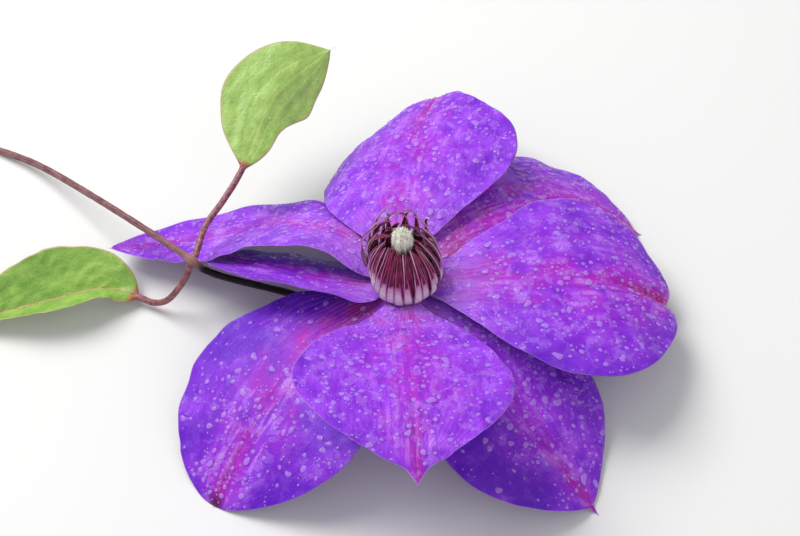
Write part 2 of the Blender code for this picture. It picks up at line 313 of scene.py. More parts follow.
# base height, length, half widths left and right, heading at base and tip, rise at base, middle and tip,
# roll at base and tip, curl of the left and right halves, widest place, fullness; then how strong and wide
# the rosy bar is, its strength at base and tip, how deep the violet and its painted shade are on the left and
# right, how far the tip folds along its midrib, and how wide its point is
sepalSet = {
    "sepalBack": {
        "node": "sepal_back", "base": 2.0, "length": 74, "widths": (30, 31), "heading": (95, 65),
        "rise": (17, -3, -11), "roll": (-3, -32), "curl": (-35, -19), "widest": 0.57, "fullness": 0.77,
        "bar": 0.60, "barWidth": 6.0, "barEnds": (0.9, 0.6), "deepAndShade": (0.30, 0.40),
        "crease": 0.5, "point": 1.2, "tuck": 110,
    },
    "sepalBackRight": {
        "node": "sepal_back_right", "base": -1.2, "length": 80, "widths": (28, 28), "heading": (49, -2),
        "rise": (16, -11, -48), "roll": (7, -10), "curl": (-20, -14), "widest": 0.57, "fullness": 0.80,
        "bar": 0.95, "barWidth": 10.0, "barEnds": (1.5, 0.7), "deepAndShade": (0.20, 0.60),
        "crease": 0.3, "point": 4.2, "throat": 0.3,
    },
    "sepalRight": {
        "node": "sepal_right", "base": 1.1, "length": 79, "widths": (30, 32), "heading": (-3, 8),
        "rise": (9, -7, -58), "roll": (9, 1), "curl": (-13, -2), "widest": 0.58, "fullness": 0.73,
        "bar": 0.80, "barWidth": 5.6, "barEnds": (0.3, 1.5), "deepAndShade": (0.45, 0.75),
        "crease": 1.9, "point": 1.6, "tuck": 90,
    },
    "sepalFrontRight": {
        "node": "sepal_front_right", "base": -1.9, "length": 78, "widths": (26, 25), "heading": (-53, -42),
        "rise": (1, -19, -38), "roll": (4, -12), "curl": (1, -10), "widest": 0.58, "fullness": 0.79,
        "bar": 0.36, "barWidth": 5.0, "barEnds": (1.1, 1.0), "deepAndShade": (0.55, 1.70),
        "crease": 0.5, "point": 4.2, "throat": 0.1, "claw": 3.6,
    },
    "sepalFront": {
        "node": "sepal_front", "base": 0.7, "length": 71, "widths": (26, 30), "heading": (-87, -87),
        "rise": (13, 13, -26), "roll": (0, -5), "curl": (-4, 11), "widest": 0.56, "fullness": 0.81,
        "bar": 0.54, "barWidth": 6.5, "barEnds": (1.0, 0.9), "deepAndShade": (0.10, 0.15),
        "crease": 0.4, "point": 8.0, "bladeShare": 0.94,
    },
    "sepalFrontLeft": {
        "node": "sepal_front_left", "base": -2.2, "length": 76, "widths": (30, 28), "heading": (-146, -118),
        "rise": (0, -23, -45), "roll": (2, 6), "curl": (0, -11), "widest": 0.54, "fullness": 0.64,
        "bar": 0.84, "barWidth": 6.4, "barEnds": (1.4, 0.30), "deepAndShade": (1.20, 3.20),
        "crease": 0.5, "point": 1.4, "bladeShare": 0.985, "deepFade": 0.72, "tipDark": 1.0, "throat": 0.1,
        "claw": 2.6,
    },
    "sepalLeft": {
        "node": "sepal_left", "base": -1.2, "length": 56, "widths": (17, 17), "heading": (171, 139),
        "rise": (-3, -11, -35), "roll": (13, 13), "curl": (47, -38), "widest": 0.40, "fullness": 0.67,
        "bar": 0.55, "barWidth": 2.6, "barEnds": (1.2, 0.8), "deepAndShade": (0.30, 1.20),
        "crease": 0.2, "point": 2.0, "bladeShare": 0.99, "drops": 0.25,
    },
    "sepalBackLeft": {
        "node": "sepal_back_left", "base": -0.4, "length": 94, "widths": (18, 15), "heading": (126, 202),
        "rise": (23, -26, 28), "roll": (26, 20), "curl": (-5, 10), "widest": 0.45, "fullness": 0.66,
        "bar": 0.65, "barWidth": 3.6, "barEnds": (1.2, 0.8), "deepAndShade": (0.20, 0.35),
        "crease": 0.2, "point": 2.4, "bladeShare": 0.985,
    },
}


def sepalSheet(form, s, v, seed):
    # A midrib that turns and pitches along its length, and halves that curl as arcs to each side of it. The
    # outline is a sine arch joined to a short point. Ribs, puckers and a ruffled edge stand along the normal.
    length, widths, heading, rise = form["length"], form["widths"], form["heading"], form["rise"]
    roll, curl, bladeShare = form["roll"], form["curl"], form["bladeShare"]
    turn = np.radians((heading[1] - heading[0]) * s)
    first, middle, last = (1 - s) * (1 - 2 * s), 4 * s * (1 - s), s * (2 * s - 1)
    pitch = rise[0] * first + rise[1] * middle + rise[2] * last
    pitch = np.radians(pitch - form["tuck"] * smoothStep(0.90, 0.98, s))
    along = np.stack([np.cos(pitch) * np.cos(turn), np.cos(pitch) * np.sin(turn), np.sin(pitch)], 1)
    steps = (along[1:] + along[:-1]) / 2 * length * np.diff(s)[:, None]
    midrib = np.vstack([[0, 0, 0], np.cumsum(steps, 0)])
    left = np.stack([-np.sin(turn), np.cos(turn), np.zeros_like(turn)], 1)
    up = np.cross(along, left)
    rolled = np.radians(roll[0] + (roll[1] - roll[0]) * s) * (1 - bell(s, form["rollShare"]))
    cos, sin = np.cos(rolled)[:, None], np.sin(rolled)[:, None]
    left, up = left * cos + up * sin, up * cos - left * sin

    arch = bladeWidth(s / bladeShare, form["widest"] / bladeShare, form["fullness"])
    nearTip = np.clip((1 - s) / form["pointShare"], 0, 1)
    point = form["point"] * nearTip ** form["pointTaper"] * smoothStep(1.0, 0.7, nearTip)
    claw = form["claw"] * bell(s, form["clawShare"]) * (1 - arch)
    halfWidth = np.where(v > 0, widths[0], widths[1])
    reach = ((halfWidth * arch[:, None]) ** 3 + point[:, None] ** 3) ** (1 / 3) + claw[:, None]
    wobble = waves(s[:, None] * length, np.sign(v) * 60.0, 34, 9, 14, seed)
    reach = reach * (1 + form["outline"] * wobble)
    bend = np.radians(np.where(v > 0, curl[0], curl[1])) / halfWidth + 1e-9
    angle = bend * np.abs(v) * reach
    side, lift = np.sign(v) * np.sin(angle) / bend, (1 - np.cos(angle)) / bend
    sheet = midrib[:, None] + side[..., None] * left[:, None] + lift[..., None] * up[:, None]
    tilt = np.sign(v) * np.sin(angle)
    normal = up[:, None] * np.cos(angle)[..., None] - left[:, None] * tilt[..., None]

    across = v * reach
    alongMm = np.broadcast_to((s * length)[:, None], across.shape)
    edge = (1 - np.abs(v)) * reach
    inner = smoothStep(0.02, 0.22, s)[:, None] * smoothStep(1.0, 0.85, s)[:, None]
    fade = smoothStep(0.0, 0.12, s)[:, None] * smoothStep(1.0, 0.80, s)[:, None]
    spread = form["ribSpread"] * halfWidth * arch[:, None] ** 0.6
    ribs, ridges = 0, 0
    for k in (-1, 0, 1):
        ribs = ribs + bell(across - k * spread, form["ribWidth"]) * (1.0 if k == 0 else 0.6)
    for k in (-0.5, 0.5):
        ridges = ridges + bell(across - k * spread, form["ridgeWidth"])
    # veins fan out from the base, each keeping its share of the width
    sway = waves(alongMm, across, 30, 10, 10, seed + 5) * 0.05
    lane = v * form["veinCount"] * (1 + 0.12 * v ** 2) + sway * form["veinCount"]
    gap = np.abs((lane % 1.0) - 0.5) * reach / form["veinCount"]
    veins = bell(gap, form["veinWidth"]) * smoothStep(1.0, 0.75, np.abs(v)) * fade
    # narrow sepals pucker less
    puckers = waves(alongMm * 0.55, across, 9, 3.2, 30, seed + 1) * min(1.0, max(widths) / form["fullWidth"])
    broad = waves(alongMm, across, 34, 14, 12, seed + 2)
    edgeShare = np.abs(v) ** 4
    ruffle = waves(alongMm, np.sign(v) * 50.0, 26, 9, 10, seed + 3)
    fold = bell(across, form["foldWidth"]) * smoothStep(0.55, 0.90, s)[:, None]
    relief = (form["ridgeHeight"] * ridges - form["ribDepth"] * ribs) * inner - form["veinDepth"] * veins
    relief = relief + form["pucker"] * puckers * fade * (0.35 + 0.65 * np.abs(v))
    atEdge = form["swell"] * broad * np.abs(v) + form["ruffle"] * ruffle * edgeShare
    relief = relief + atEdge * fade - form["crease"] * fold
    sheet = sheet + normal * relief[..., None]

    cos, sin = math.cos(math.radians(heading[0])), math.sin(math.radians(heading[0]))
    spin = np.array([[cos, -sin, 0], [sin, cos, 0], [0, 0, 1]])
    sheet = sheet @ spin.T + np.array([form["ring"] * cos, form["ring"] * sin, form["base"]])
    # normals from the finished sheet: the way along crossed with the way to the left
    normal = unit(np.cross(np.gradient(sheet, axis=0), -np.gradient(sheet, axis=1)))
    # the rosy bar is broad at mid length and frays at its sides
    barWidth = form["barWidth"] * (0.35 + 0.75 * np.sin(np.pi * np.clip(s, 0, 1) ** 0.9))[:, None]
    fray = 1 + 0.35 * waves(alongMm * 0.7, across, 12, 4, 16, seed + 6)
    bar = form["bar"] * np.exp(-((np.abs(across) / (barWidth * fray.clip(0.3))) ** 1.6))
    bar = bar * (form["barEnds"][0] * (1 - s) + form["barEnds"][1] * s)[:, None]
    bar = bar * (0.85 + 0.30 * waves(alongMm, across, 16, 5, 14, seed + 7)).clip(0)
    crimson = fold * min(form["crease"], 1.2) * bell(across, form["crimsonWidth"])
    # the violet deepens towards the edges, deeper still as painted shade where a row sets it high, and fades
    # towards the tip on the right where the row says so
    deepAndShade = np.where(v > 0, *form["deepAndShade"]) * (0.25 + 0.75 * np.abs(v) ** 1.5)
    deepAndShade = deepAndShade * (1 - np.where(v > 0, 0, form["deepFade"]) * smoothStep(0.30, 0.75, s)[:, None])
    deepAndShade = (deepAndShade * (0.75 + 0.35 * waves(alongMm, across, 34, 10, 14, seed + 8)).clip(0.2, 1.4)).clip(0, 1)
    tip = smoothStep(0.90, 0.985, s)[:, None] * bell(across, form["tipWidth"])
    half = form["thickness"] / 2 * (1 - np.abs(v) ** 6) * smoothStep(1.0, 0.93, s)[:, None] ** 0.5
    return sheet, normal, half, {
        "across": across, "along": alongMm, "edge": edge, "bar": bar, "ribs": ribs * inner, "deepAndShade": deepAndShade,
        "puckers": puckers, "veins": veins, "crimson": crimson, "tipDark": form["tipDark"] * tip,
        "heart": smoothStep(0.8, 0.1, np.abs(v)) * smoothStep(0.0, 0.3, s)[:, None] * form["bar"],
        "throat": form["throat"] * smoothStep(0.32, 0.05, s)[:, None], "baseShare": s[:, None],
    }


def sepalFinish():
    finish, tree, shader = newFinish("sepalFinish", IOR=1.40, Specular_IOR_Level=0.35)
    place = attribute(tree, "bladePlace", "Vector")
    bar, edge, ribs = attribute(tree, "bar"), attribute(tree, "edge"), attribute(tree, "ribs")
    top, deepAndShade, lift = attribute(tree, "topSide"), attribute(tree, "deepAndShade"), attribute(tree, "puckers")
    share, veins, crimson = attribute(tree, "baseShare"), attribute(tree, "veins"), attribute(tree, "crimson")
    coarse = streaksOf(tree, place, 1.6, 10.0)
    fine = streaksOf(tree, place, 0.50, 14.0)
    patches = mottleOf(tree, place, 8.0, 1.7)
    specks = mottleOf(tree, place, 1.5, 1.5)
    blushes = mottleOf(tree, place, 14.0, 1.8)
    film = mottleOf(tree, place, 3.0, 2.0)
    # violet ground, deeper in patches, towards the edges and, as painted shade, on some sepals; paler on its
    # crests as a painted highlight
    ground = mix(tree, step(tree, patches, 0.2, 0.8), (0.205, 0.016, 0.62), (0.385, 0.058, 0.86))
    plain = step(tree, deepAndShade, 0.25, 0.85, 1.0, 0.25)
    # painted highlight: the crests of the puckers are paler where light would catch them
    crestHighlight = times(tree, step(tree, lift, 0.2, 1.6, 0.0, 0.30), plain)
    ground = mix(tree, crestHighlight, ground, (0.47, 0.13, 0.92))
    ground = mix(tree, times(tree, deepAndShade, 0.85), ground, (0.100, 0.004, 0.48))
    ground = mix(tree, step(tree, fine["Fine"], 0.45, 0.62, 0.0, 0.34), ground, (0.13, 0.006, 0.50))
    # the middle of the blade blushes in soft patches; then the rosy bar, broken into feathered streaks
    blush = times(tree, attribute(tree, "heart"), step(tree, blushes, 0.38, 0.62))
    ground = mix(tree, times(tree, blush, 0.62), ground, (0.42, 0.022, 0.64))
    feather = sums(tree, "ADD", times(tree, coarse["Lines"], 0.6), 0.6)
    rosy = times(tree, times(tree, bar, feather), step(tree, specks, 0.1, 0.7, 0.65, 1.15))
    rosy = put(tree, "ShaderNodeClamp", {"Value": rosy}).outputs[0]
    face = mix(tree, rosy, ground, (0.45, 0.010, 0.48))
    wineHeart = times(tree, times(tree, bar, step(tree, share, 0.36, 0.12)), 0.75)
    face = mix(tree, wineHeart, face, (0.34, 0.003, 0.20))
    face = mix(tree, times(tree, ribs, 0.32), face, (0.22, 0.004, 0.30))
    face = mix(tree, crimson, face, (0.42, 0.004, 0.15))
    face = mix(tree, attribute(tree, "tipDark"), face, (0.035, 0.001, 0.014))
    # veins: pale and rosy in the throat, dark further out
    near = step(tree, share, 0.50, 0.10)
    face = mix(tree, times(tree, times(tree, veins, near), 0.28), face, (0.62, 0.26, 0.74))
    far = times(tree, times(tree, veins, step(tree, share, 0.3, 0.5)), 0.36)
    face = mix(tree, far, face, (0.13, 0.006, 0.42))
    # a lilac throat; lilac sheets of water, coloured as a painted reflection of the sky; and a thin pale rim
    throat = times(tree, attribute(tree, "throat"), step(tree, coarse["Lines"], 0.0, 1.0, 0.65, 0.10))
    face = mix(tree, throat, face, (0.50, 0.20, 0.70))
    wetFilmAndReflection = times(tree, step(tree, film, 0.52, 0.70), plain)
    face = mix(tree, times(tree, wetFilmAndReflection, 0.26), face, (0.56, 0.26, 0.92))
    # painted highlights: lilac gleams of wet sheen drawn out between the veins of the broad middle
    gleam = times(tree, step(tree, coarse["Lines"], 0.2, 0.9), step(tree, patches, 0.45, 0.75))
    gleam = times(tree, times(tree, gleam, attribute(tree, "heart")), plain)
    face = mix(tree, times(tree, gleam, 0.55), face, (0.62, 0.32, 0.88))
    # thin pale rim: partly edge fuzz, partly painted light shining through the thin edge
    face = mix(tree, step(tree, edge, 0.34, 0.08, 0.0, 0.65), face, (0.56, 0.32, 0.86))
    # the underside is paler and duller, with a greenish midrib
    under = mix(tree, step(tree, patches, 0.2, 0.8), (0.34, 0.15, 0.60), (0.46, 0.26, 0.72))
    under = mix(tree, times(tree, veins, 0.4), under, (0.24, 0.08, 0.46))
    under = mix(tree, times(tree, bar, 0.55), under, (0.42, 0.32, 0.36))
    tree.links.new(mix(tree, top, under, face), shader["Base Color"])
    height = sums(tree, "ADD", times(tree, coarse["Lines"], 0.5), times(tree, fine["Fine"], 0.6))
    height = sums(tree, "ADD", height, times(tree, specks, 0.8))
    height = sums(tree, "ADD", height, times(tree, wetFilmAndReflection, 1.0))
    tree.links.new(bumpOf(tree, height, 0.16, 0.7), shader["Normal"])
    dry = step(tree, specks, 0.2, 0.8, 0.40, 0.55)
    tree.links.new(mix(tree, wetFilmAndReflection, dry, (0.16, 0.16, 0.16)), shader["Roughness"])
    return finish


def makeSepals():
    finish, form, tops = sepalFinish(), sepalForm, {}
    tipFrom, tipRows = form["tipFrom"], form["tipRows"]
    tip = np.linspace(tipFrom, form["end"], tipRows + 1)[1:]
    s = np.concatenate([np.linspace(0, tipFrom, form["rows"] - tipRows), tip])
    even = np.linspace(1, -1, form["columns"])
    v = np.sin(even * math.pi / 2) * form["edgeCrowding"] + even * (1 - form["edgeCrowding"])
    for number, (name, row) in enumerate(sepalSet.items()):
        blade = sepalSheet({**form, **row}, s, v, 100 + 10 * number)
        tops[name] = addBlade(name, blade, number, finish, row["node"])
    print("sepals made:", len(tops))
    return tops


sepalTops = makeSepals()


# each whorl: how many, turned by how much; radius and height of its curve's four points; half widths at the
# stations; how far the second point moves at the front; how far the last point moves on the open side; where
# the anther starts; how freely it twists; how cream the filament is, the rest dark wine painted as shade, and
# how strong the sac lines are
stamenForm = {
    "whorls": {
        "outer": {
            "count": 27, "turned": 0, "curve": ((5.9, 3.1), (11.85, 0.75), (12.0, 12.5), (4.4, 17.2)),
            "halfWidths": (0.72, 1.42, 0.54, 0.22), "droop": (1.35, -1.65), "splay": (4.8, 3.0),
            "antherFrom": 0.62, "twist": 50, "cream": 1.0, "sacLines": 1.0,
        },
        "middle": {
            "count": 12, "turned": 0, "curve": ((4.6, 4.6), (9.8, 2.6), (10.4, 12.0), (4.2, 15.6)),
            "halfWidths": (0.55, 1.15, 0.95, 0.30), "droop": (0.0, 0.0), "splay": (2.0, 0.6),
            "antherFrom": 0.46, "twist": 14, "cream": 0.12, "sacLines": 0.2,
        },
        "inner": {
            "count": 8, "turned": 0, "curve": ((3.3, 5.6), (6.2, 5.4), (7.4, 11.5), (4.0, 14.4)),
            "halfWidths": (0.50, 1.10, 1.10, 0.30), "droop": (0.0, 0.0), "splay": (0.6, 0.0),
            "antherFrom": 0.42, "twist": 14, "cream": 0.12, "sacLines": 0.2,
        },
        "between": {
            "count": 22, "turned": 7, "curve": ((5.2, 3.9), (10.9, 1.7), (11.1, 12.2), (4.2, 16.4)),
            "halfWidths": (0.55, 1.10, 0.95, 0.30), "droop": (0.9, -1.0), "splay": (2.4, 0.4),
            "antherFrom": 0.50, "twist": 14, "cream": 0.12, "sacLines": 0.2,
        },
    },
    "rings": 40, "sides": 16, "stations": (0.0, 0.40, 0.72, 1.0), "flickFrom": 0.78,
    "filamentThickness": 0.40, "antherThickness": 0.60, "groove": 0.6, "grooveWidth": 0.45,
    # in degrees: the side that splays open, how the whorls lean, the side where filaments stand further in,
    # and the side where the sac lines face away
    "openSide": 110, "lean": 5.0, "leanStart": 40, "tuckedSide": 200, "tuckedReach": 36,
    "hiddenLines": 252, "hiddenReach": 20, "tuckedBy": (3.4, 1.0), "stagger": 0.45,
    # scatter: of lean, and of the outer whorl's lean at its closed and open side; how far most tips curl in,
    # and how many; how far the others curl; of radius and of height; of the hook at closed and open side
    "leanScatter": 1.6, "outerLean": (4.0, 7.0), "curl": (-4.6, 0.4), "curled": 0.75, "straight": (-0.5, 0.3),
    "radiusScatter": 0.45, "heightScatter": (0.6, 0.9), "hook": (4, 16),
}


def openness(turn):
    # 1 on the side that splays open, 0 opposite it
    return (1 + math.cos(math.radians(turn - stamenForm["openSide"]))) / 2


def stamenRings(whorl, turn, lean, curlOut, twist, shift, hook, outward):
    # A strap swept up a Bezier curve: a thin lens in section at the filament, and a thicker one with a groove
    # down each face at the anther. Its tip moves round by lean and hook and flicks out by curlOut; the anther
    # twists.
    form, antherFrom = stamenForm, whorl["antherFrom"]
    t = np.linspace(0, 1, form["rings"])
    p = np.array(whorl["curve"], float)
    p[1] -= np.array(whorl["droop"]) * math.sin(math.radians(turn))
    tucked = bell(turn - form["tuckedSide"], form["tuckedReach"])
    p[1:3, 0] -= np.array(form["tuckedBy"]) * tucked
    p[3] += np.array(whorl["splay"]) * openness(turn)
    p[2:] += np.array(shift)
    p[1, 0] += outward
    weights = np.stack([(1 - t) ** 3, 3 * t * (1 - t) ** 2, 3 * t**2 * (1 - t), t**3], 1)
    radius, height = (weights @ p).T
    flick = np.clip((t - form["flickFrom"]) / (1 - form["flickFrom"]), 0, 1) ** 2
    radius, height = radius + curlOut * flick, height + 0.5 * abs(curlOut) * flick
    roundBy = np.radians(turn + lean * t**2 + hook * flick)
    line = np.stack([radius * np.cos(roundBy), radius * np.sin(roundBy), height], 1)
    along = unit(np.gradient(line, axis=0))
    across = np.stack([-np.sin(roundBy), np.cos(roundBy), np.zeros_like(t)], 1)
    across = unit(across - along * (along * across).sum(1, keepdims=True))
    facing = np.cross(along, across)
    turned = np.radians(twist) * smoothStep(antherFrom - 0.05, 1.0, t)[:, None]
    cos, sin = np.cos(turned), np.sin(turned)
    across, facing = across * cos + facing * sin, facing * cos - across * sin
    anther = smoothStep(antherFrom, antherFrom + 0.06, t)[:, None]
    halfWidth = np.interp(t, form["stations"], whorl["halfWidths"]) * smoothStep(1.02, 0.93, t) ** 0.6
    halfWidth = halfWidth[:, None]
    thick = form["filamentThickness"] / 2 * (1 - anther) + form["antherThickness"] / 2 * anther
    angle = around(form["sides"])[None]
    sideways = np.sign(np.cos(angle)) * np.abs(np.cos(angle)) ** 0.8
    groove = 1 - form["groove"] * anther * bell(sideways, form["grooveWidth"])
    depth = np.sin(angle) * thick * groove * smoothStep(1.03, 0.9, t)[:, None] ** 0.5
    width = sideways * halfWidth
    rings = line[:, None] + across[:, None] * width[..., None] + facing[:, None] * depth[..., None]
    alongMm = np.broadcast_to(t[:, None] * 22, depth.shape)
    marks = {
        "up": np.broadcast_to(t[:, None] - antherFrom, depth.shape),
        "sideways": np.broadcast_to(sideways, depth.shape),
        "strapPlace": np.stack([alongMm, width, np.full_like(depth, turn)], -1),
    }
    return rings, marks


def stamenFinish():
    finish, tree, shader = newFinish("stamenFinish", Specular_IOR_Level=0.2, Roughness=0.45, Sheen_Weight=0.1)
    up, sideways = attribute(tree, "up"), attribute(tree, "sideways")
    place = attribute(tree, "strapPlace", "Vector")
    lines = streaksOf(tree, place, 0.30, 20.0)
    blotch = mottleOf(tree, place, 1.5, 1.2)
    out = sums(tree, "ABSOLUTE", sideways)
    wander = sums(tree, "ADD", up, times(tree, sums(tree, "SUBTRACT", blotch, 0.5), 0.10))
    # cream filament, darker purple at its sides as lilac tint and painted shade between filaments, rosy
    # towards the anther
    cream = mix(tree, step(tree, lines["Fine"], 0.3, 0.7), (0.70, 0.55, 0.56), (0.88, 0.82, 0.68))
    cream = mix(tree, step(tree, blotch, 0.45, 0.7, 0.0, 0.3), cream, (0.62, 0.34, 0.62))
    cream = mix(tree, step(tree, out, 0.50, 0.95, 0.0, 0.95), cream, (0.28, 0.05, 0.24))
    cream = mix(tree, step(tree, wander, -0.16, 0.0, 0.0, 0.7), cream, (0.52, 0.12, 0.36))
    # the less cream filaments of the whorls that sit in shade are painted dark wine as shade
    cream = mix(tree, attribute(tree, "cream"), (0.16, 0.008, 0.045), cream)
    # wine-red anther, with a pale line of pollen sacs down both edges
    wine = mix(tree, step(tree, blotch, 0.3, 0.7), (0.090, 0.002, 0.026), (0.27, 0.005, 0.072))
    lineShare = times(tree, step(tree, out, 0.62, 0.80, 0.0, 0.9), attribute(tree, "edgeLines"))
    wine = mix(tree, lineShare, wine, (0.76, 0.44, 0.66))
    tree.links.new(mix(tree, step(tree, wander, -0.03, 0.03), cream, wine), shader["Base Color"])
    height = sums(tree, "ADD", times(tree, lines["Fine"], 0.6), times(tree, blotch, 0.4))
    tree.links.new(bumpOf(tree, height, 0.08, 0.6), shader["Normal"])
    return finish


def makeStamens():
    finish, form, between = stamenFinish(), stamenForm, []
    for name, whorl in form["whorls"].items():
        for number in range(whorl["count"]):
            turn = 360 * number / whorl["count"] + whorl["turned"]
            opened = openness(turn)
            lean = form["lean"] * math.sin(math.radians(2 * turn + form["leanStart"]))
            lean += rng.normal(0, form["leanScatter"])
            if rng.random() < form["curled"]:
                curlOut = rng.uniform(*form["curl"]) * opened
            else:
                curlOut = rng.uniform(*form["straight"])
            if name == "outer":
                lean += rng.normal(0, form["outerLean"][0] + form["outerLean"][1] * opened)
            twist = rng.normal(0, whorl["twist"])
            radiusBy = rng.normal(0, form["radiusScatter"])
            heightBy = rng.normal(0, form["heightScatter"][0] + form["heightScatter"][1] * opened)
            hook = rng.normal(0, form["hook"][0] + form["hook"][1] * opened)
            # neighbours stand a little behind one another, so that their filaments close up
            outward = form["stagger"] * (-1) ** number
            rings, marks = stamenRings(whorl, turn, lean, curlOut, twist, (radiusBy, heightBy), hook, outward)
            plain = 1 - 0.85 * bell(turn - form["hiddenLines"], form["hiddenReach"])
            lines = plain * rng.uniform(0.75, 1.0) * whorl["sacLines"]
            marks["cream"] = np.full_like(marks["up"], whorl["cream"])
            marks["edgeLines"] = np.full_like(marks["up"], lines)
            if name == "between":
                between.append((rings, marks))
                continue
            values = {key: mark[None] for key, mark in marks.items()}
            piece, node = f"stamen{name.capitalize()}{number + 1:02d}", f"stamen_{name}_{number + 1:02d}"
            addPiece(piece, rings[None], finish, [node], values)
    values = {key: np.stack([marks[key] for _, marks in between]) for key in between[0][1]}
    addPiece("stamensBetween", np.stack([rings for rings, _ in between]), finish, [], values)
    print("stamens made:", sum(whorl["count"] for whorl in form["whorls"].values()))


makeStamens()


pistilForm = {
    "count": 84, "foot": 2.0, "top": 2.25, "footHeight": 6.0, "topHeight": 18.6, "rings": 16, "sides": 7,
    "thickness": 0.36, "dome": 1.8, "partFrom": 0.35, "goldenAngle": 137.508,
    "hairs": 3400, "hairLength": 1.0, "hairsFrom": 0.72, "hairFoot": 0.09, "hairTip": 0.025,
    "coreRadius": 2.15, "coreHeight": 17.6, "coreRise": 2.0, "coreDrop": 3.4,
    "coreRings": 20, "coreSides": 40,
}


def makePistils():
    # Styles set out as seeds in a sunflower head, rising as one column and parting at the top. Fine hairs
    # stand out from the top of each.
    form = pistilForm
    k = np.arange(form["count"])
    share = np.sqrt((k + 0.5) / form["count"])
    turn = k * math.radians(form["goldenAngle"])
    t = np.linspace(0, 1, form["rings"])
    topRadius = form["top"] * share * rng.uniform(0.85, 1.15, len(k))
    topHeight = form["topHeight"] + form["dome"] * (1 - share**2) + rng.normal(0, 0.55, len(k))
    spread = smoothStep(form["partFrom"], 1.0, t)[None, :]
    radius = form["foot"] * share[:, None] * (1 - spread) + topRadius[:, None] * spread
    sway = rng.normal(0, 0.16, (len(k), 1)) * t[None, :] ** 3
    swung = turn[:, None] + sway
    rise = form["footHeight"] + (topHeight[:, None] - form["footHeight"]) * t[None, :]
    line = np.stack([radius * np.cos(swung), radius * np.sin(swung), rise], -1)
    thickness = form["thickness"] * (0.75 + 0.5 * smoothStep(0.5, 0.8, t)) * smoothStep(1.04, 0.80, t) ** 0.8
    rings = np.stack([tube(each, thickness, np.array([0.3, 1.0, 0.05]), form["sides"]) for each in line])
    height = np.broadcast_to(t[None, :, None], rings.shape[:3])

    pick = rng.integers(0, len(k), form["hairs"])
    at = rng.uniform(form["hairsFrom"], 1.0, form["hairs"])
    index = at * (form["rings"] - 1)
    low = np.clip(index.astype(int), 0, form["rings"] - 2)
    blend = (index - low)[:, None]
    root = line[pick, low] * (1 - blend) + line[pick, low + 1] * blend
    sideways = [rng.normal(0, 1, len(pick)), rng.normal(0, 1, len(pick))]
    away = unit(np.stack([*sideways, rng.uniform(0.3, 1.8, len(pick))], 1))
    away = unit(away + 0.5 * unit(root * np.array([1, 1, 0])))
    reach = form["hairLength"] * rng.uniform(0.5, 1.0, len(pick))
    side = unit(np.cross(away, np.array([0.2, 0.5, 0.9])))
    other = np.cross(away, side)
    corner = around(3)[:, None]
    cross = side[:, None] * np.cos(corner) + other[:, None] * np.sin(corner)
    tip = root + away * reach[:, None]
    hairs = [root[:, None] + cross * form["hairFoot"], tip[:, None] + cross * form["hairTip"]]
    hairRings = np.stack(hairs, 1)

    finish, tree, shader = newFinish("styleFinish", Roughness=0.6, Sheen_Weight=0.3)
    up = attribute(tree, "up")
    place = put(tree, "ShaderNodeTexCoord").outputs["Object"]
    blotch = mottleOf(tree, place, 0.0012, 1.5)
    cream = mix(tree, step(tree, blotch, 0.3, 0.7), (0.93, 0.92, 0.76), (0.98, 0.98, 0.90))
    base = mix(tree, step(tree, up, 0.55, 0.80), (0.20, 0.07, 0.05), cream)
    tree.links.new(base, shader["Base Color"])
    tree.links.new(bumpOf(tree, blotch, 0.1, 0.5), shader["Normal"])
    addPiece("pistils", rings, finish, ["pistils"], {"up": height})
    # a pale heart fills the gaps between the styles: half an egg about the axis
    core = np.radians(np.linspace(-80, 84, form["coreRings"]))[:, None]
    coreRadius = form["coreRadius"] * np.cos(core)
    coreHeight = form["coreHeight"] + np.where(core > 0, form["coreRise"], form["coreDrop"]) * np.sin(core)
    about = around(form["coreSides"])
    coreX, coreY = coreRadius * np.cos(about), coreRadius * np.sin(about)
    coreRings = np.stack([coreX, coreY, np.broadcast_to(coreHeight, coreX.shape)], -1)
    addPiece("styleHeart", coreRings[None], finish, [], {"up": 1.0})
    addPiece("styleHairs", hairRings, finish, [], {"up": 1.0})
    print("styles made:", form["count"])


makePistils()


# the outline's radius and height
receptacleForm = {
    "outline": [(1.2, -5.0), (1.9, -4.4), (3.6, -3.2), (3.9, -2.6), (3.9, 2.4),
                (5.4, 3.0), (5.2, 3.4), (4.1, 4.4), (2.8, 5.1), (1.2, 5.6)],
    "sides": 72, "ribs": 16, "ribDepth": 0.035,
}


def makeReceptacle():
    # the outline turned about the axis, its radius swelling and sinking with the cosine of the ribs
    form = receptacleForm
    outline = smoothLine(form["outline"], 5)
    angle = around(form["sides"])
    swell = 1 + form["ribDepth"] * np.cos(form["ribs"] * angle)
    radius = outline[:, :1] * swell[None, :]
    height = np.broadcast_to(outline[:, 1:], radius.shape)
    rings = np.stack([radius * np.cos(angle), radius * np.sin(angle), height], -1)
    finish, tree, shader = newFinish("receptacleFinish", Roughness=0.55)
    place = put(tree, "ShaderNodeTexCoord").outputs["Object"]
    blotch = mottleOf(tree, place, 0.002, 1.6)
    green = mix(tree, step(tree, blotch, 0.3, 0.7), (0.24, 0.27, 0.08), (0.42, 0.40, 0.16))
    ribShare = step(tree, attribute(tree, "ribs"), 0.0, 1.0, 0.0, 0.5)
    tree.links.new(mix(tree, ribShare, green, (0.26, 0.10, 0.16)), shader["Base Color"])
    tree.links.new(bumpOf(tree, blotch, 0.15, 0.6), shader["Normal"])
    valleys = 0.5 - 0.5 * np.cos(form["ribs"] * angle)
    addPiece("receptacle", rings[None], finish, ["receptacle"], {"ribs": valleys})
    print("receptacle made")


makeReceptacle()


